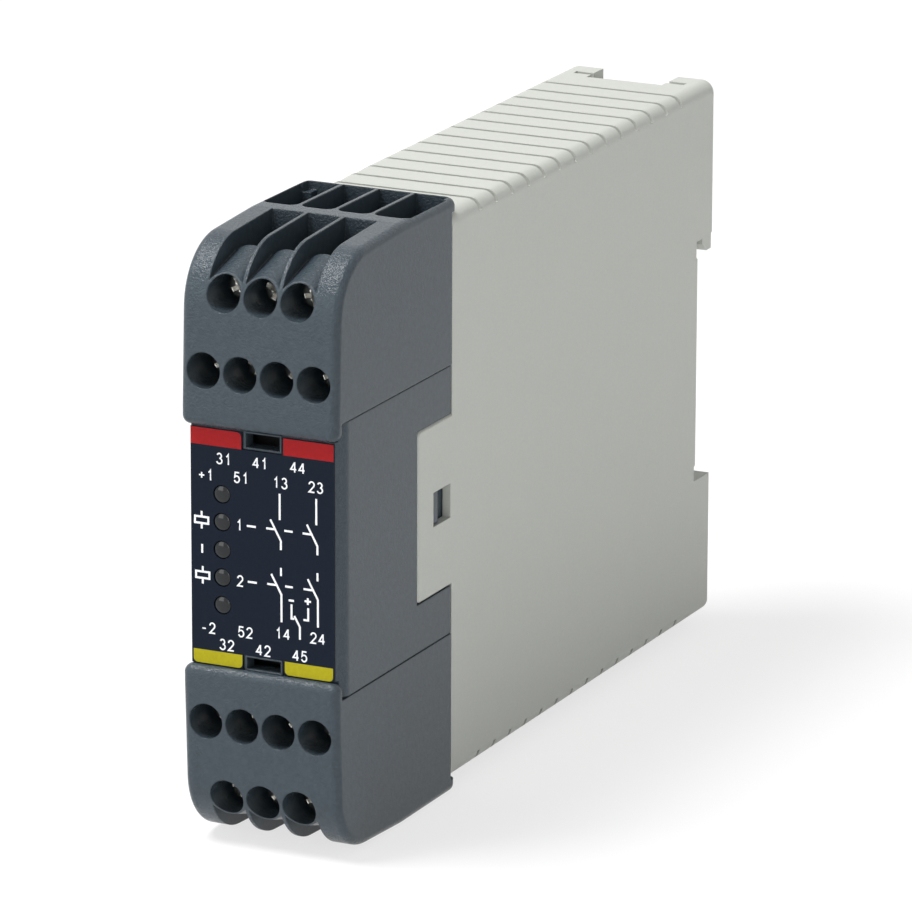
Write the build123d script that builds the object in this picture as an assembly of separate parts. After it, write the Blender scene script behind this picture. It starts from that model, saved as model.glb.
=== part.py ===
from build123d import *
import os

# Sizes are in millimetres. While a piece is modelled, x runs across the width from its
# middle, y runs back from the front plane, and z is the height above the mid-plane.
# The upper and lower terminal blocks are mirror images about that mid-plane.

# Overall sizes
WIDTH = 22.5
DEPTH = 118.5
TIP = 40.8  # mid-plane to the top face of the upper terminal block
HALF_WIDTH = WIDTH / 2

# Case: a sleeve open at the front, with a rail recess in its back
CASE_TOP = 38.95  # mid-plane to the case's top face
CASE_FRONT = 33.9
CASE_WALL = 1.6
CASE_ROUND = 1.8
CASE_IN_X = HALF_WIDTH - CASE_WALL
CASE_IN_Z = CASE_TOP - CASE_WALL
SLIT_COUNT = 14
SLIT_FIRST = 42.4
SLIT_PITCH = 5.0
SLIT_WIDTH = 0.75
SLIT_DROP = CASE_WALL  # how far a slit runs down the side
GUIDE_DEPTH = 0.9
GUIDE_WIDTH = 0.9
TONGUE_FRONT = 23.7
TONGUE_HALF = 11.7
TONGUE_THICK = 1.2
CATCH_WINDOW = (28.35, 33.5)  # y limits of the snap window in a tongue
CATCH_HALF = 2.35
HOOK_FRONT = 112.8
HOOK_SLOT = (114.3, 115.4)
HOOK_X = (5.8, 8.5)

# Recess for a 35 mm mounting rail
RAIL_HEIGHT = 35.0
RAIL_PLAY = 0.15
RAIL_SEAT = 113.6  # y of the recess floor
RAIL_LOW = -18.35  # lower ledge, where the rail's bottom edge stands
RAIL_TOP = RAIL_LOW + RAIL_HEIGHT + RAIL_PLAY
LIP_UNDER = 14.8  # underside of the fixed upper lip

# Front carrier, between the terminal blocks
CARRIER_FRONT = 1.4
CARRIER_HALF = 18.35
CARRIER_HALF_X = HALF_WIDTH - 0.05
CARRIER_WALL = 2.35
FACE_HALF_X = 10.35
FACE_HALF_Z = 16.0
BEVEL_BACK = 3.3
PLATE_BACK = 3.3
STEP_Y = 1.9  # the carrier is set back here, under the blocks' front flanges
BULKHEAD = (34.2, 35.8)
BULKHEAD_HALF = 37.0
LABEL_HALF_X = 10.3
LABEL_THICK = 0.3
LABEL_TOP = (13.5, 15.8)  # limits of the two upper label tabs
LABEL_FOOT = (-16.0, -14.1)
PRY_X = (-2.3, 2.6)
PRY_SPANS = {1: (13.9, 15.8), -1: (-14.35, -15.9)}  # inner and outer z limits
PRY_FRAME = 0.22
LAMP_COUNT = 5
LAMP_X = -5.8
LAMP_PITCH = 3.73
LAMP_MIDDLE = -0.33
LAMP_RADIUS = 1.2

# Terminal blocks
BLOCK_BACK = 33.8
LIP_BACK = 35.7  # the top reaches back over the case to here
LIP_CLEAR = 0.1  # gap between that lip and the case's top face
LIP_ROUND = 1.5
PLUG_HALF = 9.5  # the part under the lip that reaches into the case's mouth
PLUG_UNDER = 37.3
BLOCK_UNDER = 18.5  # joint line between a block and the carrier
FLANGE_END = 16.15
FLANGE_BACK = 1.5
BLOCK_ROUND = 9.0  # the large curve from the front face to the top
BLOCK_EDGE = 1.1
TOP_SLOPE = 0.055  # the top falls towards the front, ahead of this point
TOP_BREAK = 19.5
FRONT_LEAN = 0.04
POLE_PITCH = 5.27
POLE_WALL = 0.5  # partition between two wire openings
SIDE_WALL = 0.61
FRONT_ROW_Z = 33.85  # three poles
REAR_ROW_Z = 23.6  # four poles
DRIVER_RADIUS = 2.4  # screwdriver tunnels in the front face
DRIVER_BACK = 7.35
REAR_MOUTH = (21.7, 33.2)  # y limits of the rear wire openings
REAR_MOUTH_FLOOR = 27.5
REAR_STEP_BACK = 34.8  # behind a rear opening's deep part its wall steps back to here
REAR_STEP = ((37.9, 9.0), (39.6, 10.3))  # height and half width of the two steps
FRONT_MOUTH = (9.0, 19.2)
FRONT_MOUTH_FLOOR = 36.1
HOOD_RADIUS = 3.65  # the hood over each front tunnel
HOOD_SLOPE = 0.298
HOOD_CROWN = (2.5, 36.55)  # a point on the hood's crown line, y and z

# Screw clamps
HEAD_Y = (5.6, 7.2)
HEAD_RADIUS = 1.95
SHANK_RADIUS = 1.25
RUNNING_GAP = 0.05
CLAMP_TRAVEL = 1.8
CLAMP_LENGTH = 6.4
CLAMP_HALF = 2.15
CLAMP_FRONT_WALL = 1.3
CLAMP_BACK_WALL = 1.0
CLAMP_WINDOW = 1.45
POCKET_HALF = 2.3
FRONT_ROW_CLAMP = 11.4  # y of an open clamp's front face
REAR_ROW_CLAMP = 24.4
BAR_THICK = 1.6
BAR_HALF_X = 1.3
STEM_HALF_X = 0.65
SOCKET_Y = (25.9, 33.4)
SOCKET_Z = 20.1
SOCKET_HALF = 1.1
SOCKET_BORE = 0.62
PIN_HALF = 0.5
PIN_Y = (29.6, 39.8)

# Electronics
BOARD = 1.6
DISPLAY_Y = 6.2
HEADER_Y = (34.0, 37.6)
HEADER_HALF_X = 9.2
CONNECTOR_HALF_Z = 24.0
MAIN_BOARD_X = -7.7
MAIN_BOARD_Y = (39.2, 108.0)
MAIN_BOARD_HALF_Z = 36.9

# Rail latch
LATCH_HALF_X = 5.8
WING_HALF_X = 7.2
LATCH_Y = (113.8, 115.2, 118.0)  # front of the wings, back of the wings, back of the body
LATCH_BOTTOM = -38.6
LATCH_TOP = -18.45
NOSE_TOP = -16.9
NOSE_FRONT = 114.75
LATCH_WINDOW = (-33.0, -24.0)
PEG_Z = (-32.8, -30.8)
SPRING_RADIUS = 1.65
SPRING_WIRE = 0.22
SPRING_TURNS = 3.5
SPRING_SIDES = 6

FRONT_ROW_X = [(i - 1) * POLE_PITCH for i in range(3)]
REAR_ROW_X = [(i - 1.5) * POLE_PITCH for i in range(4)]
ALL_POLES_X = sorted(FRONT_ROW_X + REAR_ROW_X)
TO_FRAME = Location((0, -DEPTH / 2, TIP))


def slab(x, y, z):
    """A box from its x, y and z limits."""
    spans = (sorted(x), sorted(y), sorted(z))
    size = [b - a for a, b in spans]
    centre = [(a + b) / 2 for a, b in spans]
    return Pos(*centre) * Box(*size)


def wide(half, y, z):
    """A box centred across the width."""
    return slab((-half, half), y, z)


def rod(x, z, radius, y):
    """A round bar along y."""
    return Pos(x, (y[0] + y[1]) / 2, z) * Cylinder(radius, y[1] - y[0], rotation=(90, 0, 0))


def side_profile(points, half):
    """A y-z outline, extruded evenly across the width."""
    return extrude(Plane.YZ * make_face(Polyline(*points, close=True)), half, both=True)


def top_profile(points, half):
    """An x-y outline, extruded evenly up and down from the mid-plane."""
    return extrude(make_face(Polyline(*points, close=True)), half, both=True)


def export(name, shape):
    """Write one piece, moved into the shared frame."""
    export_step(TO_FRAME * shape, os.path.join("parts", name + ".step"))


def case_slits():
    """Vent slits across the top and bottom walls, running a little way down each side."""
    slits = []
    for i in range(SLIT_COUNT):
        y = SLIT_FIRST + i * SLIT_PITCH
        span = (y - SLIT_WIDTH / 2, y + SLIT_WIDTH / 2)
        for side in (-1, 1):
            slits.append(wide(WIDTH, span, (side * (CASE_TOP - SLIT_DROP), side * (CASE_TOP + 1))))
    return slits


def case_tongue(side):
    """A side tongue that reaches forward and snaps over the carrier."""
    x = (side * HALF_WIDTH, side * (HALF_WIDTH - TONGUE_THICK))
    tongue = slab(x, (TONGUE_FRONT, CASE_FRONT + 1), (-TONGUE_HALF, TONGUE_HALF))
    tongue = fillet(tongue.edges().filter_by(Axis.X).group_by(Axis.Y)[0], 1.0)
    outer_face = tongue.faces().filter_by(Axis.X).sort_by(Axis.X)[-1 if side > 0 else 0]
    front_edge = outer_face.edges().filter_by(Axis.Z).sort_by(Axis.Y)[0]
    tongue = chamfer(front_edge, 0.25)
    return tongue - slab(x, CATCH_WINDOW, (-CATCH_HALF, CATCH_HALF))


def rail_recess():
    """The recess that seats the rail: a square ledge below, a hooked lip above.

    A shallow groove at each end of the seat keeps the rail's edges clear of the corners.
    """
    back = DEPTH + 1
    outline = [
        (back, RAIL_LOW),
        (RAIL_SEAT - 0.4, RAIL_LOW),
        (RAIL_SEAT - 0.4, RAIL_LOW + 2.1),
        (RAIL_SEAT, RAIL_LOW + 2.4),
        (RAIL_SEAT, LIP_UNDER - 0.6),
        (RAIL_SEAT - 0.4, LIP_UNDER - 0.3),
        (RAIL_SEAT - 0.4, RAIL_TOP),
        (RAIL_SEAT + 1.6, RAIL_TOP),
        (RAIL_SEAT + 1.6, RAIL_TOP - 0.8),
        (RAIL_SEAT + 3.0, LIP_UNDER),
        (back, LIP_UNDER),
    ]
    step = wide(WIDTH, (DEPTH - 0.3, back), (LIP_UNDER - 1, 17.04))
    return side_profile(outline, WIDTH) + step


def latch_channel():
    """The T-shaped channel in the lower back wall that guides the rail latch."""
    wings = wide(WING_HALF_X + 0.2, (RAIL_SEAT, LATCH_Y[1] + 0.2), (-TIP, RAIL_LOW))
    mouth = wide(LATCH_HALF_X + 0.2, (RAIL_SEAT, DEPTH + 1), (-TIP, RAIL_LOW))
    return wings + mouth


def rear_hooks_cutout():
    """The top wall's rear cut-out, which leaves a hooked bar at each rear corner."""
    height = (CASE_IN_Z, CASE_TOP + 1)
    return wide(HOOK_X[0], (HOOK_FRONT, DEPTH + 1), height) + wide(HOOK_X[1], HOOK_SLOT, height)


def block_plug_cutout():
    """The cut in the front of the top wall that a terminal block's plug fits."""
    y = (CASE_FRONT - 1, LIP_BACK + LIP_CLEAR)
    return wide(PLUG_HALF + 0.15, y, (PLUG_UNDER - 1, CASE_TOP + 1))


def make_case():
    outer = wide(HALF_WIDTH, (CASE_FRONT, DEPTH), (-CASE_TOP, CASE_TOP))
    outer = fillet(outer.edges().filter_by(Axis.Y), CASE_ROUND)
    back_wall = RAIL_SEAT - CASE_WALL
    cavity = wide(CASE_IN_X, (CASE_FRONT - 1, back_wall), (-CASE_IN_Z, CASE_IN_Z))
    rear_pocket = (RAIL_TOP + 1.8, CASE_IN_Z - CASE_WALL)
    cavity += wide(CASE_IN_X, (back_wall - 1, DEPTH - CASE_WALL), rear_pocket)
    case = outer - cavity + case_tongue(-1) + case_tongue(1)
    case -= rail_recess()
    case -= latch_channel()
    case -= rear_hooks_cutout()
    case -= block_plug_cutout() + mirror(block_plug_cutout(), about=Plane.XY)
    case -= case_slits()
    for side in (-1, 1):
        # a groove for the main board's edge
        z = (side * CASE_IN_Z, side * (CASE_IN_Z - GUIDE_DEPTH))
        guide_y = (MAIN_BOARD_Y[0] + 4, back_wall + 0.2)
        left = MAIN_BOARD_X - 0.1
        right = MAIN_BOARD_X + BOARD + 0.1
        case += slab((left - GUIDE_WIDTH, left), guide_y, z)
        case += slab((right, right + GUIDE_WIDTH), guide_y, z)
    case += wide(2.0, (RAIL_SEAT - 0.5, LATCH_Y[2] - 0.6), PEG_Z)
    return case


def header_blank(side, grow=0.0):
    """The outer form of a pin header."""
    z = (side * (SOCKET_Z - 1.4 - grow), side * (SOCKET_Z + 1.4 + grow))
    return wide(HEADER_HALF_X + grow, HEADER_Y, z)


def pin(x, side):
    return slab(
        (x - PIN_HALF, x + PIN_HALF),
        PIN_Y,
        (side * SOCKET_Z - PIN_HALF, side * SOCKET_Z + PIN_HALF),
    )


def make_header_pins(side):
    pins = []
    for x in ALL_POLES_X:
        tapered = pin(x, side)
        pins.append(chamfer(tapered.faces().sort_by(Axis.Y)[0].edges(), 0.25))
    return pins


def make_header(side):
    header = header_blank(side)
    for x in ALL_POLES_X:
        header -= pin(x, side)
    return header


def lamp_heights():
    first = LAMP_MIDDLE - (LAMP_COUNT - 1) / 2 * LAMP_PITCH
    return [first + i * LAMP_PITCH for i in range(LAMP_COUNT)]


def make_carrier():
    outline = [
        (-FACE_HALF_X, CARRIER_FRONT),
        (FACE_HALF_X, CARRIER_FRONT),
        (CARRIER_HALF_X, BEVEL_BACK),
        (CARRIER_HALF_X, CASE_FRONT - 0.2),
        (-CARRIER_HALF_X, CASE_FRONT - 0.2),
        (-CARRIER_HALF_X, BEVEL_BACK),
    ]
    body = top_profile(outline, CARRIER_HALF)
    softened = body.edges().filter_by(Axis.Z).group_by(Axis.Y)[1]
    body = fillet(softened, 2.0)
    neck_x = CASE_IN_X - 0.1
    body += wide(neck_x, (CASE_FRONT - 0.5, BULKHEAD[1]), (-CARRIER_HALF, CARRIER_HALF))
    body += wide(neck_x, BULKHEAD, (-BULKHEAD_HALF, BULKHEAD_HALF))
    hollow_x = HALF_WIDTH - CARRIER_WALL
    hollow_z = CARRIER_HALF - 1.5
    body -= wide(hollow_x, (PLATE_BACK, BULKHEAD[1] + 1), (-hollow_z, hollow_z))
    for side in (-1, 1):
        # the front is set back under a terminal block's flange
        body -= wide(WIDTH, (0, STEP_Y), (side * FACE_HALF_Z, side * TIP))
        # side recess for a case tongue, and the snap nose that sits in its window
        reach = HALF_WIDTH - TONGUE_THICK - 0.1
        recess_z = TONGUE_HALF + 0.15
        x = (side * (HALF_WIDTH + 1), side * reach)
        body -= slab(x, (TONGUE_FRONT - 0.15, CASE_FRONT + 0.1), (-recess_z, recess_z))
        x = (side * (HALF_WIDTH - 0.35), side * (reach - 0.2))
        nose = slab(x, (CATCH_WINDOW[0] + 0.15, CATCH_WINDOW[0] + 2.0), (0.15 - CATCH_HALF, CATCH_HALF - 0.15))
        body += nose
        # slot for prying a terminal block off, with a raised frame
        z = PRY_SPANS[side]
        frame_x = (PRY_X[0] - PRY_FRAME, PRY_X[1] + PRY_FRAME)
        frame_z = (z[0] - side * PRY_FRAME, z[1] + side * PRY_FRAME)
        body += slab(frame_x, (CARRIER_FRONT - LABEL_THICK, PLATE_BACK), frame_z)
        body -= slab(PRY_X, (0, PLATE_BACK + 0.1), z)
        # posts for the display board
        for x in (-7.2, 7.2):
            body += rod(x, side * 12.0, 1.1, (PLATE_BACK - 0.1, DISPLAY_Y))
        body -= header_blank(side, 0.05)
    for z in lamp_heights():
        body -= rod(LAMP_X, z, LAMP_RADIUS + RUNNING_GAP, (0, PLATE_BACK + 1))
    return body


def make_label():
    y = (CARRIER_FRONT - LABEL_THICK, CARRIER_FRONT)
    label = wide(LABEL_HALF_X, y, (LABEL_FOOT[0], LABEL_TOP[1]))
    gap_x = (PRY_X[0] - 0.6, PRY_X[1] + 0.45)
    label -= slab(gap_x, (0, 3), (LABEL_TOP[0], TIP))
    label -= slab(gap_x, (0, 3), (LABEL_FOOT[1], -TIP))
    for z in lamp_heights():
        label -= rod(LAMP_X, z, LAMP_RADIUS + RUNNING_GAP, (0, 3))
    return label


def make_light_pipe(z):
    pipe = rod(LAMP_X, z, LAMP_RADIUS, (CARRIER_FRONT - LABEL_THICK - 0.12, DISPLAY_Y - 0.9))
    return chamfer(pipe.edges().sort_by(Axis.Y)[0], 0.25)


def block_blank():
    """The outer form of the upper terminal block, before anything is cut into it."""
    front_top = TIP - TOP_SLOPE * TOP_BREAK
    lean_top = FRONT_LEAN * (front_top - BLOCK_UNDER)
    outline = make_face(Polyline(
        (0, FLANGE_END),
        (0, BLOCK_UNDER),
        (lean_top, front_top + TOP_SLOPE * lean_top),
        (TOP_BREAK, TIP),
        (BLOCK_BACK, TIP),
        (BLOCK_BACK, BLOCK_UNDER),
        (FLANGE_BACK, BLOCK_UNDER),
        (FLANGE_BACK, FLANGE_END),
        close=True,
    ))
    corner = (lean_top, front_top, 0)
    outline = fillet(outline.vertices().sort_by_distance(corner)[0], BLOCK_ROUND)
    blank = extrude(Plane.YZ * outline, HALF_WIDTH, both=True)
    lip = wide(HALF_WIDTH, (BLOCK_BACK, LIP_BACK), (CASE_TOP + LIP_CLEAR, TIP))
    blank += fillet(lip.edges().filter_by(Axis.Z).group_by(Axis.Y)[-1], LIP_ROUND)
    blank += wide(PLUG_HALF, (BLOCK_BACK - 1, LIP_BACK), (PLUG_UNDER, CASE_TOP + 1))
    flange_corners = blank.edges().filter_by(Axis.Y).group_by(Axis.Z)[0]
    blank = fillet(flange_corners, 1.2)
    return blank


def round_block_edges(blank):
    """Round the front and top side edges, which run on round the large curve."""
    edges = []
    for edge in blank.edges():
        box = edge.bounding_box()
        flat_side = box.size.X < 0.01 and abs(abs(edge.center().X) - HALF_WIDTH) < 0.01
        on_front = box.max.Y < 10 and box.min.Z >= BLOCK_UNDER - 0.01 and box.size.Z > 1
        on_top = box.min.Z > 39 and box.size.Y > 1
        if flat_side and (on_front or on_top):
            edges.append(edge)
    return fillet(edges, BLOCK_EDGE)


def front_channel(x):
    """The wire channel over a front tunnel: a curved ramp, then a deep pocket."""
    half = (POLE_PITCH - POLE_WALL) / 2
    span = (x - half, x + half)
    ramp = slab(span, (-1, FRONT_MOUTH[0] + 0.1), (34.5, TIP + 2))
    run = 20
    angle = degrees_of_slope(HOOD_SLOPE)
    hood = Cylinder(HOOD_RADIUS, run, rotation=(90, 0, 0))
    drop = HOOD_RADIUS * (1 + HOOD_SLOPE ** 2) ** 0.5
    hood = Pos(x, HOOD_CROWN[0], HOOD_CROWN[1] - drop) * (Rot(angle, 0, 0) * hood)
    pocket = slab(span, FRONT_MOUTH, (FRONT_MOUTH_FLOOR, TIP + 2))
    return (ramp - hood) + pocket


def degrees_of_slope(slope):
    return Vector(1, 0, 0).get_angle(Vector(1, 0, slope))


def rear_mouth(index):
    """One rear wire opening, with rounded front corners."""
    inner = POLE_WALL / 2
    edges = [-HALF_WIDTH + SIDE_WALL - inner, -POLE_PITCH, 0, POLE_PITCH, HALF_WIDTH - SIDE_WALL + inner]
    span = (edges[index] + inner, edges[index + 1] - inner)
    mouth = slab(span, REAR_MOUTH, (REAR_MOUTH_FLOOR, TIP + 2))
    mouth = fillet(mouth.edges().filter_by(Axis.Z).group_by(Axis.Y)[0], 1.3)
    for height, half in REAR_STEP:
        step_x = (max(span[0], -half), min(span[1], half))
        mouth += slab(step_x, (REAR_MOUTH[1] - 1, REAR_STEP_BACK), (height, TIP + 2))
    return mouth


def clamp_space(x, z, clamp_front, roof):
    """The pocket a clamp cage slides in, and the tunnel for its screw."""
    pocket_y = (clamp_front - CLAMP_TRAVEL - 0.15, clamp_front + CLAMP_LENGTH + 0.15)
    pocket = slab((x - POCKET_HALF, x + POCKET_HALF), pocket_y, (z - POCKET_HALF, roof))
    tunnel = rod(x, z, DRIVER_RADIUS, (-1, DRIVER_BACK))
    bore = rod(x, z, SHANK_RADIUS + RUNNING_GAP, (DRIVER_BACK - 1, pocket_y[0] + 1))
    return pocket + tunnel + bore


def bar_front(clamp_front):
    return clamp_front + CLAMP_FRONT_WALL + 0.1


def contact_bar(x, row_z, clamp_front, paddle_top):
    """A contact bar: a paddle inside the clamp, a stem, and a socket at the back."""
    y0 = bar_front(clamp_front)
    y = (y0, y0 + BAR_THICK)
    lowest = SOCKET_Z if y[1] > SOCKET_Y[0] else row_z - CLAMP_HALF - 0.1
    paddle = slab((x - BAR_HALF_X, x + BAR_HALF_X), y, (lowest, paddle_top))
    socket = slab(
        (x - SOCKET_HALF, x + SOCKET_HALF),
        SOCKET_Y,
        (SOCKET_Z - SOCKET_HALF, SOCKET_Z + SOCKET_HALF),
    )
    bar = paddle + socket
    if y[1] < SOCKET_Y[0]:
        stem_x = (x - STEM_HALF_X, x + STEM_HALF_X)
        bar += slab(stem_x, y, (SOCKET_Z - 0.6, row_z))
        bar += slab(stem_x, (y0, SOCKET_Y[0] + 0.5), (SOCKET_Z - 0.6, SOCKET_Z + 0.6))
    return bar


def bore_socket(bar, x):
    """Open the socket at the back of a contact bar for its pin."""
    span = (-SOCKET_BORE, SOCKET_BORE)
    hole = slab(span, (PIN_Y[0] - 0.4, SOCKET_Y[1] + 1), span)
    return bar - Pos(x, 0, SOCKET_Z) * hole


def solid_bars():
    bars = [contact_bar(x, FRONT_ROW_Z, FRONT_ROW_CLAMP, FRONT_ROW_Z + CLAMP_HALF) for x in FRONT_ROW_X]
    bars += [contact_bar(x, REAR_ROW_Z, REAR_ROW_CLAMP, REAR_ROW_Z + CLAMP_HALF) for x in REAR_ROW_X]
    return bars


def make_bars():
    poles = FRONT_ROW_X + REAR_ROW_X
    return [bore_socket(bar, x) for bar, x in zip(solid_bars(), poles)]


def make_block():
    block = round_block_edges(block_blank())
    for x in FRONT_ROW_X:
        block -= front_channel(x)
        block -= clamp_space(x, FRONT_ROW_Z, FRONT_ROW_CLAMP, FRONT_MOUTH_FLOOR + 0.2)
    for index in range(4):
        block -= rear_mouth(index)
    for x in REAR_ROW_X:
        block -= clamp_space(x, REAR_ROW_Z, REAR_ROW_CLAMP, REAR_MOUTH_FLOOR + 0.1)
    for bar in solid_bars():
        block -= bar
    opening = SOCKET_BORE + 0.1
    for x in ALL_POLES_X:
        span = (-opening, opening)
        block -= Pos(x, 0, SOCKET_Z) * slab(span, (SOCKET_Y[1] - 0.1, BLOCK_BACK + 1), span)
    return block


def make_screw(x, z, clamp_front):
    """A clamp screw with a crossed driver recess."""
    tip = bar_front(clamp_front) - 0.1
    screw = rod(x, z, HEAD_RADIUS, HEAD_Y) + rod(x, z, SHANK_RADIUS, (HEAD_Y[0] + 0.5, tip))
    depth = (HEAD_Y[0] - 1, HEAD_Y[0] + 0.9)
    long_slot = slab((x - 1.6, x + 1.6), depth, (z - 0.3, z + 0.3))
    cross_slot = slab((x - 0.3, x + 0.3), depth, (z - 1.3, z + 1.3))
    return screw - long_slot - cross_slot


def make_cage(x, z, clamp_front):
    """A clamp cage: a square ring, open upwards, threaded on its screw."""
    y = (clamp_front, clamp_front + CLAMP_LENGTH)
    cage = slab((x - CLAMP_HALF, x + CLAMP_HALF), y, (z - CLAMP_HALF, z + CLAMP_HALF))
    cage = chamfer(cage.edges().filter_by(Axis.Z), 0.35)
    window_y = (clamp_front + CLAMP_FRONT_WALL, clamp_front + CLAMP_LENGTH - CLAMP_BACK_WALL)
    cage -= slab((x - CLAMP_WINDOW, x + CLAMP_WINDOW), window_y, (z - TIP, z + TIP))
    return cage - rod(x, z, SHANK_RADIUS + RUNNING_GAP, (clamp_front - 1, window_y[0] + 0.5))


def make_display_board():
    board = wide(8.6, (DISPLAY_Y, DISPLAY_Y + BOARD), (-16.5, 16.5))
    return chamfer(board.edges().filter_by(Axis.Y), 0.8)


def make_indicator_lamps():
    y = (DISPLAY_Y - 0.8, DISPLAY_Y)
    return [slab((LAMP_X - 0.8, LAMP_X + 0.8), y, (z - 0.6, z + 0.6)) for z in lamp_heights()]


def make_connector_board():
    board = wide(9.3, (HEADER_Y[1], HEADER_Y[1] + BOARD), (-CONNECTOR_HALF_Z, CONNECTOR_HALF_Z))
    for side in (-1, 1):
        for x in ALL_POLES_X:
            board -= pin(x, side)
    return board


def make_main_board():
    x = (MAIN_BOARD_X, MAIN_BOARD_X + BOARD)
    board = slab(x, MAIN_BOARD_Y, (-MAIN_BOARD_HALF_Z, MAIN_BOARD_HALF_Z))
    board = chamfer(board.edges().filter_by(Axis.X), 1.0)
    for side in (-1, 1):
        # room for the tails of the header pins
        board -= slab(x, (MAIN_BOARD_Y[0] - 1, PIN_Y[1] + 0.4), (side * (SOCKET_Z - 1), side * (SOCKET_Z + 1)))
    return board


def make_relay(z):
    x = MAIN_BOARD_X + BOARD
    relay = slab((x, x + 14.5), (48.0, 76.0), (z - 6.3, z + 6.3))
    return chamfer(relay.edges().filter_by(Axis.X), 0.6)


def make_capacitors():
    x = MAIN_BOARD_X + BOARD
    spots = [(88.0, 28.0), (98.5, 28.0), (88.0, 16.0)]
    cans = [Pos(x + 6.0, y, z) * Cylinder(4.0, 12.0, rotation=(0, 90, 0)) for y, z in spots]
    return [chamfer(can.edges().sort_by(Axis.X)[-1], 0.4) for can in cans]


def make_chips():
    x = MAIN_BOARD_X + BOARD
    return [slab((x, x + 1.6), (82.0, 94.0), (z - 6.0, z + 6.0)) for z in (-8.0, -26.0)]


def make_flat_cable():
    return slab((6.2, 6.5), (DISPLAY_Y + BOARD, HEADER_Y[1]), (-6.0, 6.0))


def make_latch():
    """The sprung latch that hooks behind the rail's lower edge."""
    wings = wide(WING_HALF_X, LATCH_Y[:2], (LATCH_BOTTOM, LATCH_TOP))
    body = wide(LATCH_HALF_X, LATCH_Y[::2], (LATCH_BOTTOM, LATCH_TOP))
    nose = side_profile([
        (NOSE_FRONT, LATCH_TOP - 1),
        (NOSE_FRONT, NOSE_TOP),
        (NOSE_FRONT + 0.6, NOSE_TOP),
        (LATCH_Y[2], LATCH_TOP),
        (LATCH_Y[2], LATCH_TOP - 1),
    ], LATCH_HALF_X)
    latch = wings + body + nose
    latch -= wide(2.2, (LATCH_Y[0] - 1, LATCH_Y[2] + 1), LATCH_WINDOW)
    latch -= wide(2.5, (115.0, 116.2), (LATCH_BOTTOM - 1, LATCH_BOTTOM + 2.4))
    return latch


def make_spring():
    """A compression spring between the case's peg and the top of the latch window."""
    y = (LATCH_Y[0] + LATCH_Y[2]) / 2
    low = PEG_Z[1] + SPRING_WIRE
    high = LATCH_WINDOW[1] - SPRING_WIRE
    path = Helix((high - low) / SPRING_TURNS, high - low, SPRING_RADIUS - SPRING_WIRE)
    wire = Plane(origin=path @ 0, z_dir=path % 0) * RegularPolygon(SPRING_WIRE, SPRING_SIDES)
    return Pos(0, y, low) * sweep(wire, path=path, is_frenet=True)


def main():
    os.makedirs("parts", exist_ok=True)
    flip = Plane.XY
    export("case_sleeve", make_case())
    export("front_carrier", make_carrier())
    export("label_plate", make_label())
    for number, z in enumerate(reversed(lamp_heights()), 1):
        export(f"light_pipe_{number}", make_light_pipe(z))
    export("display_board", make_display_board())
    export("indicator_lamps", Compound(make_indicator_lamps()))
    export("connector_board", make_connector_board())
    export("flat_cable", make_flat_cable())
    export("main_board", make_main_board())
    export("relay_upper", make_relay(8.0))
    export("relay_lower", make_relay(-8.0))
    export("capacitors", Compound(make_capacitors()))
    export("control_chips", Compound(make_chips()))
    export("rail_latch", make_latch())
    export("latch_spring", make_spring())
    block = make_block()
    bars = Compound(make_bars())
    export("terminal_block_upper", block)
    export("terminal_block_lower", mirror(block, about=flip))
    export("contact_bars_upper", bars)
    export("contact_bars_lower", mirror(bars, about=flip))
    export("pin_header_upper", make_header(1))
    export("pin_header_lower", make_header(-1))
    export("header_pins_upper", Compound(make_header_pins(1)))
    export("header_pins_lower", Compound(make_header_pins(-1)))
    poles = [(x, FRONT_ROW_Z, FRONT_ROW_CLAMP) for x in FRONT_ROW_X]
    poles += [(x, REAR_ROW_Z, REAR_ROW_CLAMP) for x in REAR_ROW_X]
    for number, (x, z, clamp_front) in enumerate(poles, 1):
        for level, side in (("upper", 1), ("lower", -1)):
            export(f"clamp_screw_{level}_{number}", make_screw(x, side * z, clamp_front))
            export(f"clamp_cage_{level}_{number}", make_cage(x, side * z, clamp_front))


main()
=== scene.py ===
import bmesh
import bpy
import math
from mathutils import Matrix, Vector


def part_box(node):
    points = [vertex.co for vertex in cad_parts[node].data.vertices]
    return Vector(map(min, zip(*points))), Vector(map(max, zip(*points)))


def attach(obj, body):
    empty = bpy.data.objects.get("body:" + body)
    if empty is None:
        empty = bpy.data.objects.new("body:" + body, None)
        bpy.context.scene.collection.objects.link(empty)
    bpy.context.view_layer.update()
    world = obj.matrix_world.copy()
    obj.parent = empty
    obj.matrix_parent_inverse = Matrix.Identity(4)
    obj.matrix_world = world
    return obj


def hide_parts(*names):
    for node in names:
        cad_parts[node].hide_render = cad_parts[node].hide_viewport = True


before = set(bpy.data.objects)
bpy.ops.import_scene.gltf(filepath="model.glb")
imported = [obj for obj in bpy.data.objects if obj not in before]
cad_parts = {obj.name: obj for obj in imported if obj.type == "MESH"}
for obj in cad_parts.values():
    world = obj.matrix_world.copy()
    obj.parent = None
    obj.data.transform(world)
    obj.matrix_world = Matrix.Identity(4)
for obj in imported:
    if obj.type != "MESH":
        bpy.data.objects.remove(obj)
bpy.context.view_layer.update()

# Sizes below are in millimetres. x is measured from the middle of the width, y back from the
# front plane and z up from the mid-plane; spot() turns them into the frame's metres.
MM = 0.001
DEPTH = 118.5
TIP = 40.8

# The photograph's view: a long lens, seen from the right and a little above
CAMERA_AZIMUTH = 25.643
CAMERA_ELEVATION = 16.090
CAMERA_ROLL = 0.1637
CAMERA_DISTANCE = 1306.5
CAMERA_TARGET = (-137.223, 344.430, -93.319)
FOCAL_PIXELS = 7204.75
PHOTO_WIDTH = 912
SENSOR = 36.0

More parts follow.
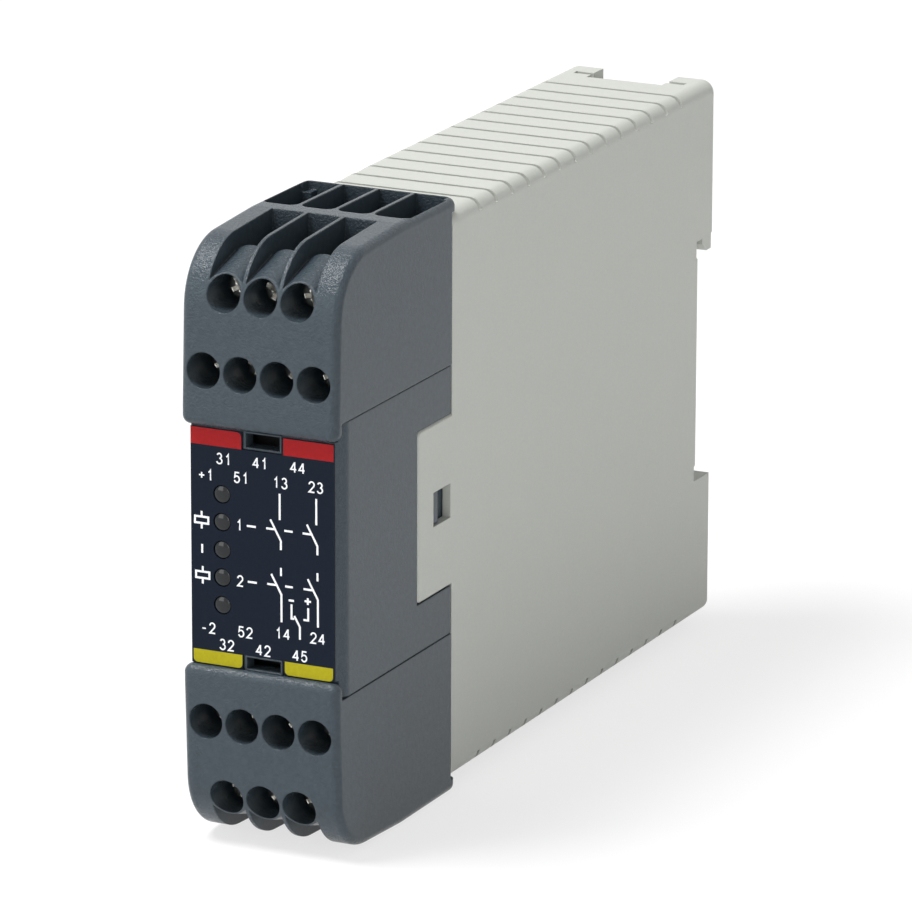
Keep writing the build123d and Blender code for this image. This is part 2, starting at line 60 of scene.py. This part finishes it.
# Colours as written, from 0 to 255
CASE_GREY = (180, 182, 176)
DARK_GREY = (56, 66, 73)
LABEL_BLUE = (9, 20, 34)
LENS_SMOKE = (16, 21, 23)
SCREW_STEEL = (196, 195, 190)
CAGE_STEEL = (132, 130, 124)
BOARD_GREEN = (30, 84, 48)
RELAY_BEIGE = (214, 210, 196)
HEADER_BLACK = (34, 34, 35)
INK_RED = (146, 21, 25)
INK_YELLOW = (158, 150, 20)
INK_WHITE = (226, 229, 232)

WORLD_GLOW = 0.36
FLOOR_GLOW = 0.7  # how far the floor is seen as plain white
FLOOR_HALF = 6.0  # in metres
FLOOR_DROP = 0.05

# Area lights: name, place in metres from the lit point, size in metres, power in watts
LIT_POINT = (0, 50, 0)
LIGHTS = [
    ("top_light", (-0.45, -0.3, 1.15), (0.5, 0.5), 20),
    ("front_light", (-0.8, -1.3, 0.35), (0.7, 1.0), 5.5),
    ("side_light", (1.4, -0.6, 0.5), (0.9, 0.9), 3.4),
    ("strip_light", (0.35, -1.35, 0.2), (0.1, 0.7), 1.8),
]

# Print on the label: x and z of the coloured fields, of drawn lines and of numbers
LABEL_FRONT = 1.1
INK_THICK = 0.02
RED_HEIGHT = (13.5, 15.75)
RED_WIDTHS = ((-10.28, -2.95), (3.1, 10.28))
RED_ROUND = 0.7
YELLOW_HEIGHT = (-15.95, -14.15)
YELLOW_WIDTHS = ((-10.05, -2.95), (3.2, 10.15))
YELLOW_ROUND = 0.6
LINE_WIDTH = 0.27
NUMBER_HEIGHT = 1.36
NUMBER_PITCH = 1.2
NUMBER_STROKE = 0.19
CONTACT_STEP = 5.25
CONTACT_LINES = [
    [(2.55, 8.3), (2.55, 4.8)],
    [(1.2, 4.7), (2.7, 2.0), (2.7, 0.8)],
    [(0.6, 3.45), (2.0, 3.45)],
    [(2.7, -1.6), (2.7, -2.7)],
    [(1.3, -2.6), (2.75, -5.2), (2.75, -8.9)],
    [(0.7, -4.0), (2.2, -4.0)],
]
DASHES = [
    [(3.2, 3.45), (4.4, 3.45)],
    [(3.3, -4.0), (4.4, -4.0)],
    [(-2.2, 3.4), (-0.9, 3.4)],
    [(-2.1, -4.1), (-0.8, -4.1)],
    [(3.8, -5.8), (4.55, -5.8)],
    [(6.1, -5.6), (7.0, -5.6)],
    [(6.55, -5.15), (6.55, -6.05)],
    [(4.2, -6.3), (4.2, -8.2), (4.6, -8.2)],
    [(4.6, -7.8), (5.4, -9.2), (5.4, -10.9)],
    [(6.6, -6.5), (6.6, -8.15), (5.9, -8.15)],
    [(-8.7, 0.1), (-8.7, -1.1)],
]
COILS = [(-8.75, 3.35), (-8.65, -4.05)]
COIL_SIZE = (0.97, 0.43, 0.75)  # half width, half height and lead length
NUMBERS = [
    ("13", 2.65, 9.75), ("23", 7.75, 9.8), ("14", 2.9, -10.45), ("24", 7.95, -10.4),
    ("31", -5.5, 11.9), ("41", -0.25, 12.0), ("44", 5.15, 12.1),
    ("+1", -8.1, 9.5), ("51", -3.0, 9.7), ("-2", -7.9, -11.1), ("52", -2.5, -11.0),
    ("32", -5.2, -13.1), ("42", 0.1, -13.1), ("45", 5.4, -13.1),
    ("1", -3.3, 3.35), ("2", -3.2, -4.15),
]

# Clamp screws, from the front of the head
HEAD_RADIUS = 1.95
HEAD_THICK = 1.6
SHANK_RADIUS = 1.25
SHANK_END = 5.0
SLOT_LONG = 3.0
SLOT_SHORT = 2.5
SLOT_WIDTH = 0.62
SLOT_DEPTH = 0.85
SCREW_ANGLES = (62, 24, 80, 51, 15, 38, 70, 5, 47)

# The domed front of a lens: depth, and share of the radius reached there
LENS_DOME = ((0, 0), (0.02, 0.3), (0.07, 0.6), (0.15, 0.85), (0.24, 0.98), (0.3, 1))


def linear(rgb):
    """Linear colour from a display colour given from 0 to 255."""
    parts = []
    for value in rgb:
        v = value / 255
        parts.append(v / 12.92 if v <= 0.04045 else ((v + 0.055) / 1.055) ** 2.4)
    return (*parts, 1.0)


def spot(x, y, z):
    return Vector((x * MM, (y - DEPTH / 2) * MM, (z + TIP) * MM))


def aim(obj, place, target):
    obj.location = place
    obj.rotation_euler = (target - place).to_track_quat("-Z", "Y").to_euler()


def make_camera():
    az = math.radians(CAMERA_AZIMUTH)
    el = math.radians(CAMERA_ELEVATION)
    roll = math.radians(CAMERA_ROLL)
    back = Vector((math.sin(az) * math.cos(el), -math.cos(az) * math.cos(el), math.sin(el)))
    right = Vector((math.cos(az), math.sin(az), 0))
    up = back.cross(right)
    tilted_right = right * math.cos(roll) + up * math.sin(roll)
    tilted_up = up * math.cos(roll) - right * math.sin(roll)
    data = bpy.data.cameras.new("camera")
    data.sensor_width = SENSOR
    data.lens = FOCAL_PIXELS / PHOTO_WIDTH * SENSOR
    data.clip_start = 0.05
    data.clip_end = 20
    camera = bpy.data.objects.new("camera", data)
    bpy.context.collection.objects.link(camera)
    place = spot(*CAMERA_TARGET) + back * CAMERA_DISTANCE * MM
    rotation = Matrix((tilted_right, tilted_up, back)).transposed()
    camera.matrix_world = Matrix.Translation(place) @ rotation.to_4x4()
    bpy.context.scene.camera = camera


def node_material(name):
    material = bpy.data.materials.new(name)
    material.use_nodes = True
    nodes = material.node_tree.nodes
    return material, nodes, material.node_tree.links, nodes["Principled BSDF"]


def noise(nodes, links, scale, detail=2.0, roughness=0.5):
    coordinates = nodes.new("ShaderNodeTexCoord")
    texture = nodes.new("ShaderNodeTexNoise")
    texture.inputs["Scale"].default_value = scale
    texture.inputs["Detail"].default_value = detail
    texture.inputs["Roughness"].default_value = roughness
    links.new(coordinates.outputs["Object"], texture.inputs["Vector"])
    return texture.outputs["Fac"]


def tone_ramp(nodes, links, factor, colour, variation):
    """The colour, drifting a little darker and lighter with the factor."""
    base = linear(colour)
    ramp = nodes.new("ShaderNodeValToRGB")
    low, high = ramp.color_ramp.elements
    low.position = 0.3
    low.color = (*[c * (1 - variation) for c in base[:3]], 1)
    high.position = 0.7
    high.color = (*[min(1, c * (1 + variation)) for c in base[:3]], 1)
    links.new(factor, ramp.inputs["Fac"])
    return ramp.outputs["Color"]


def grain_height(nodes, links, grain, flank):
    """The height of an eroded grain, which the flat sides of the mould have only a share of."""
    geometry = nodes.new("ShaderNodeNewGeometry")
    split = nodes.new("ShaderNodeSeparateXYZ")
    links.new(geometry.outputs["True Normal"], split.inputs["Vector"])
    sideways = nodes.new("ShaderNodeMath")
    sideways.operation = "ABSOLUTE"
    links.new(split.outputs["X"], sideways.inputs[0])
    share = nodes.new("ShaderNodeMapRange")
    share.inputs["From Min"].default_value = 0.8
    share.inputs["To Min"].default_value = 1.0
    share.inputs["To Max"].default_value = flank
    links.new(sideways.outputs["Value"], share.inputs["Value"])
    height = nodes.new("ShaderNodeMath")
    height.operation = "MULTIPLY"
    links.new(noise(nodes, links, grain, 2.0, 0.7), height.inputs[0])
    links.new(share.outputs["Result"], height.inputs[1])
    return height.outputs["Value"]


def plastic(name, colour, roughness, grain=5200, height=0.03, variation=0.05, gloss=0.5, edge=0.15,
            flank=1.0):
    """Moulded plastic with a fine eroded grain, softened edges and a slight change of tone."""
    material, nodes, links, shader = node_material(name)
    tone = tone_ramp(nodes, links, noise(nodes, links, grain / 2, 4.0), colour, variation)
    links.new(tone, shader.inputs["Base Color"])
    shader.inputs["Specular IOR Level"].default_value = gloss
    spread = nodes.new("ShaderNodeMapRange")
    spread.inputs["To Min"].default_value = roughness * 0.85
    spread.inputs["To Max"].default_value = roughness * 1.15
    links.new(noise(nodes, links, grain / 20), spread.inputs["Value"])
    links.new(spread.outputs["Result"], shader.inputs["Roughness"])
    soft = nodes.new("ShaderNodeBevel")
    soft.samples = 4
    soft.inputs["Radius"].default_value = edge * MM
    raised = nodes.new("ShaderNodeBump")
    raised.inputs["Strength"].default_value = 1.0
    raised.inputs["Distance"].default_value = height * MM
    links.new(grain_height(nodes, links, grain, flank), raised.inputs["Height"])
    links.new(soft.outputs["Normal"], raised.inputs["Normal"])
    links.new(raised.outputs["Normal"], shader.inputs["Normal"])
    return material


def metal(name, colour, roughness):
    material, nodes, links, shader = node_material(name)
    shader.inputs["Base Color"].default_value = linear(colour)
    shader.inputs["Metallic"].default_value = 1.0
    spread = nodes.new("ShaderNodeMapRange")
    spread.inputs["To Min"].default_value = roughness * 0.75
    spread.inputs["To Max"].default_value = roughness * 1.3
    links.new(noise(nodes, links, 900, 4.0), spread.inputs["Value"])
    links.new(spread.outputs["Result"], shader.inputs["Roughness"])
    return material


def paint(node, material):
    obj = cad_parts[node]
    obj.data.materials.clear()
    obj.data.materials.append(material)


def finish_cad_nodes():
    case = plastic("case_plastic", CASE_GREY, 0.5, variation=0.02, height=0.01, gloss=0.25)
    dark = plastic("dark_plastic", DARK_GREY, 0.22, grain=2700, variation=0.09, height=0.16,
                   gloss=0.25, edge=0.3, flank=0.2)
    label = plastic("label_foil", LABEL_BLUE, 0.5, variation=0.08, height=0.005, gloss=0.12, edge=0.05)
    steel = metal("screw_steel", SCREW_STEEL, 0.2)
    cage = metal("cage_steel", CAGE_STEEL, 0.35)
    lens = plastic("lens", LENS_SMOKE, 0.08, variation=0.05, height=0.0, gloss=0.4, edge=0.05)
    board = plastic("board", BOARD_GREEN, 0.45)
    beige = plastic("relay_plastic", RELAY_BEIGE, 0.4)
    black = plastic("black_plastic", HEADER_BLACK, 0.5)
    others = {
        "case_sleeve": case, "rail_latch": case, "front_carrier": dark, "label_plate": label,
        "display_board": black, "connector_board": board, "main_board": board,
        "relay_upper": beige, "relay_lower": beige, "flat_cable": beige, "indicator_lamps": beige,
        "capacitors": cage, "latch_spring": steel, "control_chips": black,
    }
    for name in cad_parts:
        if name in others:
            paint(name, others[name])
        elif name.startswith("terminal_block"):
            paint(name, dark)
        elif name.startswith("light_pipe"):
            paint(name, lens)
        elif name.startswith("clamp_cage"):
            paint(name, cage)
        elif name.startswith("pin_header"):
            paint(name, black)
        else:
            paint(name, steel)
    make_screw_heads(steel)
    make_lenses(lens)


def lathe(profile, steps):
    """A mesh turned about the y axis from y and radius points, closed at its ends."""
    grid = bmesh.new()
    verts = [grid.verts.new((radius * MM, y * MM, 0)) for y, radius in profile]
    edges = [grid.edges.new(pair) for pair in zip(verts, verts[1:])]
    turn = {"cent": (0, 0, 0), "axis": (0, 1, 0), "angle": math.tau, "steps": steps}
    bmesh.ops.spin(grid, geom=verts + edges, use_merge=True, **turn)
    bmesh.ops.remove_doubles(grid, verts=grid.verts[:], dist=1e-7)
    bmesh.ops.recalc_face_normals(grid, faces=grid.faces[:])
    for face in grid.faces:
        face.smooth = True
    mesh = bpy.data.meshes.new("turned")
    grid.to_mesh(mesh)
    grid.free()
    return mesh


def place_mesh(name, mesh, body, material):
    mesh.materials.clear()
    mesh.materials.append(material)
    obj = bpy.data.objects.new(name, mesh)
    bpy.context.collection.objects.link(obj)
    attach(obj, body)
    return obj


def recess_cutter():
    """Two crossed slots, one longer than the other, as on a combined-slot screw."""
    grid = bmesh.new()
    for length, width in ((SLOT_LONG, SLOT_WIDTH), (SLOT_WIDTH, SLOT_SHORT)):
        size = Matrix.Diagonal((length * MM, SLOT_DEPTH * 2 * MM, width * MM, 1))
        bmesh.ops.create_cube(grid, size=1.0, matrix=size)
    mesh = bpy.data.meshes.new("recess")
    grid.to_mesh(mesh)
    grid.free()
    return bpy.data.objects.new("recess", mesh)


def screw_mesh():
    """A domed screw head with a crossed recess, its front at the origin."""
    rim = HEAD_RADIUS - 0.02
    dome = [(0, 0), (0.02, 0.45), (0.08, 0.75), (0.2, 0.93), (0.36, 0.99), (0.5, 1)]
    side = [(1.2, 1), (1.32, 0.97), (HEAD_THICK, 0.9)]
    profile = [(depth, rim * share) for depth, share in dome + side]
    profile += [(HEAD_THICK, SHANK_RADIUS), (SHANK_END, SHANK_RADIUS), (SHANK_END, 0)]
    blank = bpy.data.objects.new("blank", lathe(profile, 48))
    cutter = recess_cutter()
    for obj in (blank, cutter):
        bpy.context.collection.objects.link(obj)
    cut = blank.modifiers.new("recess", "BOOLEAN")
    cut.object = cutter
    cut.operation = "DIFFERENCE"
    cut.solver = "EXACT"
    cut.use_self = True
    graph = bpy.context.evaluated_depsgraph_get()
    mesh = bpy.data.meshes.new_from_object(blank.evaluated_get(graph))
    for obj in (blank, cutter):
        bpy.data.objects.remove(obj)
    return mesh


def front_middle(box):
    """The middle of a box's front side."""
    low, high = box
    return Vector(((low[0] + high[0]) / 2, low[1], (low[2] + high[2]) / 2))


def make_screw_heads(steel):
    """Detailed clamp screws, each turned to an angle of its own."""
    pattern = screw_mesh()
    places = [f"{level}_{index}" for level in ("upper", "lower") for index in range(1, 8)]
    for number, place in enumerate(places):
        node = f"clamp_screw_{place}"
        mesh = pattern.copy()
        angle = SCREW_ANGLES[number % len(SCREW_ANGLES)]
        turn = Matrix.Rotation(math.radians(angle), 4, "Y")
        mesh.transform(Matrix.Translation(front_middle(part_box(node))) @ turn)
        piece = place_mesh(f"driver_screw_{place}", mesh, f"screw_{place}", steel)
        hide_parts(node)


def make_lenses(lens):
    """Domed lenses at the front of the light pipes."""
    for number in range(1, 6):
        node = f"light_pipe_{number}"
        low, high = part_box(node)
        radius = (high[0] - low[0]) / 2 / MM
        length = (high[1] - low[1]) / MM
        profile = [(depth, radius * share) for depth, share in LENS_DOME]
        mesh = lathe(profile + [(length, radius), (length, 0)], 40)
        mesh.transform(Matrix.Translation(front_middle((low, high))))
        piece = place_mesh(f"lens_{number}", mesh, "base", lens)
        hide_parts(node)


def print_mesh(name, outlines, material):
    """A thin printed layer on the label, made of flat outlines given as x and z points.

    Outlines that cross differ a little in thickness, so that no two faces coincide."""
    grid = bmesh.new()
    for number, outline in enumerate(outlines):
        back = [grid.verts.new(spot(x, LABEL_FRONT, z)) for x, z in outline]
        face = grid.faces.new(back)
        raised = bmesh.ops.extrude_face_region(grid, geom=[face])["geom"]
        moved = [v for v in raised if isinstance(v, bmesh.types.BMVert)]
        thick = INK_THICK * (1 + number % 3 / 5)
        bmesh.ops.translate(grid, verts=moved, vec=(0, -thick * MM, 0))
    bmesh.ops.recalc_face_normals(grid, faces=grid.faces[:])
    mesh = bpy.data.meshes.new(name)
    grid.to_mesh(mesh)
    grid.free()
    return place_mesh(name, mesh, "base", material)


def ribbon(points, width=LINE_WIDTH):
    """The outline of a drawn line, with mitred corners and square ends."""
    places = [Vector(point) for point in points]
    runs = [(b - a).normalized() for a, b in zip(places, places[1:])]
    left = []
    right = []
    for place, behind, ahead in zip(places, runs[:1] + runs, runs + runs[-1:]):
        along = (behind + ahead).normalized()
        side = Vector((-along.y, along.x))
        reach = width / 2 / max(0.4, along.dot(ahead))
        left.append(tuple(place + side * reach))
        right.append(tuple(place - side * reach))
    return left + right[::-1]


def arc(x, z, rx, rz, start, end, steps=12):
    """Points along part of an ellipse, from one angle to another in degrees."""
    angles = [math.radians(start + (end - start) * i / steps) for i in range(steps + 1)]
    return [(x + rx * math.cos(a), z + rz * math.sin(a)) for a in angles]


def rounded_outline(x, z, radii):
    """A rectangle with one radius for each corner, from the lower left, anticlockwise."""
    corners = [(x[0], z[0], 1, 1), (x[1], z[0], -1, 1), (x[1], z[1], -1, -1), (x[0], z[1], 1, -1)]
    points = []
    for number, ((cx, cz, dx, dz), radius) in enumerate(zip(corners, radii)):
        if radius == 0:
            points.append((cx, cz))
            continue
        start = math.pi + number * math.pi / 2
        for step in range(7):
            angle = start + step * math.pi / 12
            x_step = radius * (dx + math.cos(angle))
            z_step = radius * (dz + math.sin(angle))
            points.append((cx + x_step, cz + z_step))
    return points


def ink(name, colour):
    material, nodes, links, shader = node_material(name)
    tone = tone_ramp(nodes, links, noise(nodes, links, 2400, 3.0), colour, 0.06)
    links.new(tone, shader.inputs["Base Color"])
    shader.inputs["Roughness"].default_value = 0.5
    shader.inputs["Specular IOR Level"].default_value = 0.12
    return material


def glyph_strokes(sign):
    """The drawn lines of one number sign, on a height of 1 and centred across."""
    strokes = {
        "1": [[(-0.16, 0.76), (-0.04, 0.82), (0.06, 1.0), (0.06, 0)]],
        "2": [arc(0, 0.72, 0.26, 0.28, 175, -35) + [(-0.27, 0), (0.29, 0)]],
        "3": [arc(-0.02, 0.76, 0.22, 0.24, 160, -85), arc(-0.02, 0.27, 0.27, 0.27, 85, -165)],
        "4": [[(0.13, 0), (0.13, 1.0)], [(0.11, 0.96), (-0.28, 0.28), (0.29, 0.28)]],
        "5": [[(0.24, 0.98), (-0.17, 0.98), (-0.23, 0.52)] + arc(-0.01, 0.32, 0.27, 0.32, 125, -160)],
        "+": [[(-0.28, 0.42), (0.28, 0.42)], [(0, 0.14), (0, 0.7)]],
        "-": [[(-0.18, 0.38), (0.18, 0.38)]],
    }
    return strokes[sign]


def number_outlines(text, x, z):
    """Outlines of a printed number, centred on x and z."""
    outlines = []
    first = x - (len(text) - 1) / 2 * NUMBER_PITCH
    for place, sign in enumerate(text):
        middle = first + place * NUMBER_PITCH
        for stroke in glyph_strokes(sign):
            points = [(middle + u * NUMBER_HEIGHT, z + (v - 0.5) * NUMBER_HEIGHT) for u, v in stroke]
            outlines.append(ribbon(points, NUMBER_STROKE))
    return outlines


def make_label_print():
    red = ink("red_ink", INK_RED)
    yellow = ink("yellow_ink", INK_YELLOW)
    white = ink("white_ink", INK_WHITE)
    print_mesh("print_red", [
        rounded_outline(RED_WIDTHS[0], RED_HEIGHT, (0, 0, RED_ROUND, 0)),
        rounded_outline(RED_WIDTHS[1], RED_HEIGHT, (0, 0, 0, 0)),
    ], red)
    print_mesh("print_yellow", [
        rounded_outline(width, YELLOW_HEIGHT, (YELLOW_ROUND, YELLOW_ROUND, 0, 0))
        for width in YELLOW_WIDTHS
    ], yellow)
    lines = []
    for shift in (0, CONTACT_STEP):
        for line in CONTACT_LINES:
            lines.append([(x + shift, z) for x, z in line])
    lines += DASHES
    w, h, stub = COIL_SIZE
    for x, z in COILS:
        box = [(x + w, z + h), (x + w, z - h), (x - w, z - h), (x - w, z + h)]
        lines.append([(x, z + h), *box, (x, z + h)])
        lines.append([(x, z + h), (x, z + h + stub)])
        lines.append([(x, z - h), (x, z - h - stub)])
    print_mesh("print_circuit", [ribbon(line) for line in lines], white)
    numbers = []
    for text, x, z in NUMBERS:
        numbers += number_outlines(text, x, z)
    print_mesh("print_numbers", numbers, white)


def seen_ray(nodes, links):
    """1 for rays from the camera, straight or by way of gloss or glass, and 0 for other light."""
    rays = nodes.new("ShaderNodeLightPath")
    total = rays.outputs["Is Camera Ray"]
    for kind in ("Is Glossy Ray", "Is Transmission Ray"):
        add = nodes.new("ShaderNodeMath")
        add.operation = "ADD"
        add.use_clamp = True
        links.new(total, add.inputs[0])
        links.new(rays.outputs[kind], add.inputs[1])
        total = add.outputs["Value"]
    return total


def make_floor():
    """A white floor, with the object's shadow on it kept faint."""
    mesh = bpy.data.meshes.new("floor")
    half = FLOOR_HALF
    corners = [(-half, -half, 0), (half, -half, 0), (half, half, 0), (-half, half, 0)]
    mesh.from_pydata(corners, [], [(0, 1, 2, 3)])
    floor = bpy.data.objects.new("floor", mesh)
    bpy.context.collection.objects.link(floor)
    floor.location.z = -FLOOR_DROP * MM
    material, nodes, links, shader = node_material("floor_white")
    shader.inputs["Base Color"].default_value = (0.95, 0.95, 0.95, 1)
    shader.inputs["Roughness"].default_value = 0.9
    glow = nodes.new("ShaderNodeEmission")
    share = nodes.new("ShaderNodeMath")
    share.operation = "MULTIPLY"
    share.inputs[1].default_value = FLOOR_GLOW
    links.new(seen_ray(nodes, links), share.inputs[0])
    mix = nodes.new("ShaderNodeMixShader")
    links.new(share.outputs["Value"], mix.inputs[0])
    links.new(shader.outputs["BSDF"], mix.inputs[1])
    links.new(glow.outputs["Emission"], mix.inputs[2])
    links.new(mix.outputs["Shader"], nodes["Material Output"].inputs["Surface"])
    mesh.materials.append(material)


def make_world():
    world = bpy.data.worlds.new("world")
    bpy.context.scene.world = world
    world.use_nodes = True
    nodes = world.node_tree.nodes
    links = world.node_tree.links
    nodes.clear()
    backdrop = nodes.new("ShaderNodeBackground")
    backdrop.inputs["Color"].default_value = (1, 1, 1, 1)
    glow = nodes.new("ShaderNodeBackground")
    glow.inputs["Color"].default_value = (1, 1, 1, 1)
    glow.inputs["Strength"].default_value = WORLD_GLOW
    mix = nodes.new("ShaderNodeMixShader")
    output = nodes.new("ShaderNodeOutputWorld")
    links.new(seen_ray(nodes, links), mix.inputs[0])
    links.new(glow.outputs[0], mix.inputs[1])
    links.new(backdrop.outputs[0], mix.inputs[2])
    links.new(mix.outputs[0], output.inputs["Surface"])


def area_light(name, place, target, size, watts):
    data = bpy.data.lights.new(name, "AREA")
    data.shape = "RECTANGLE"
    data.size = size[0]
    data.size_y = size[1]
    data.energy = watts
    light = bpy.data.objects.new(name, data)
    bpy.context.collection.objects.link(light)
    aim(light, place, target)


def make_lights():
    target = spot(*LIT_POINT)
    for name, place, size, watts in LIGHTS:
        area_light(name, target + Vector(place), target, size, watts)


make_camera()
finish_cad_nodes()
make_label_print()
make_floor()
make_world()
make_lights()
bpy.context.scene.view_settings.view_transform = "Standard"
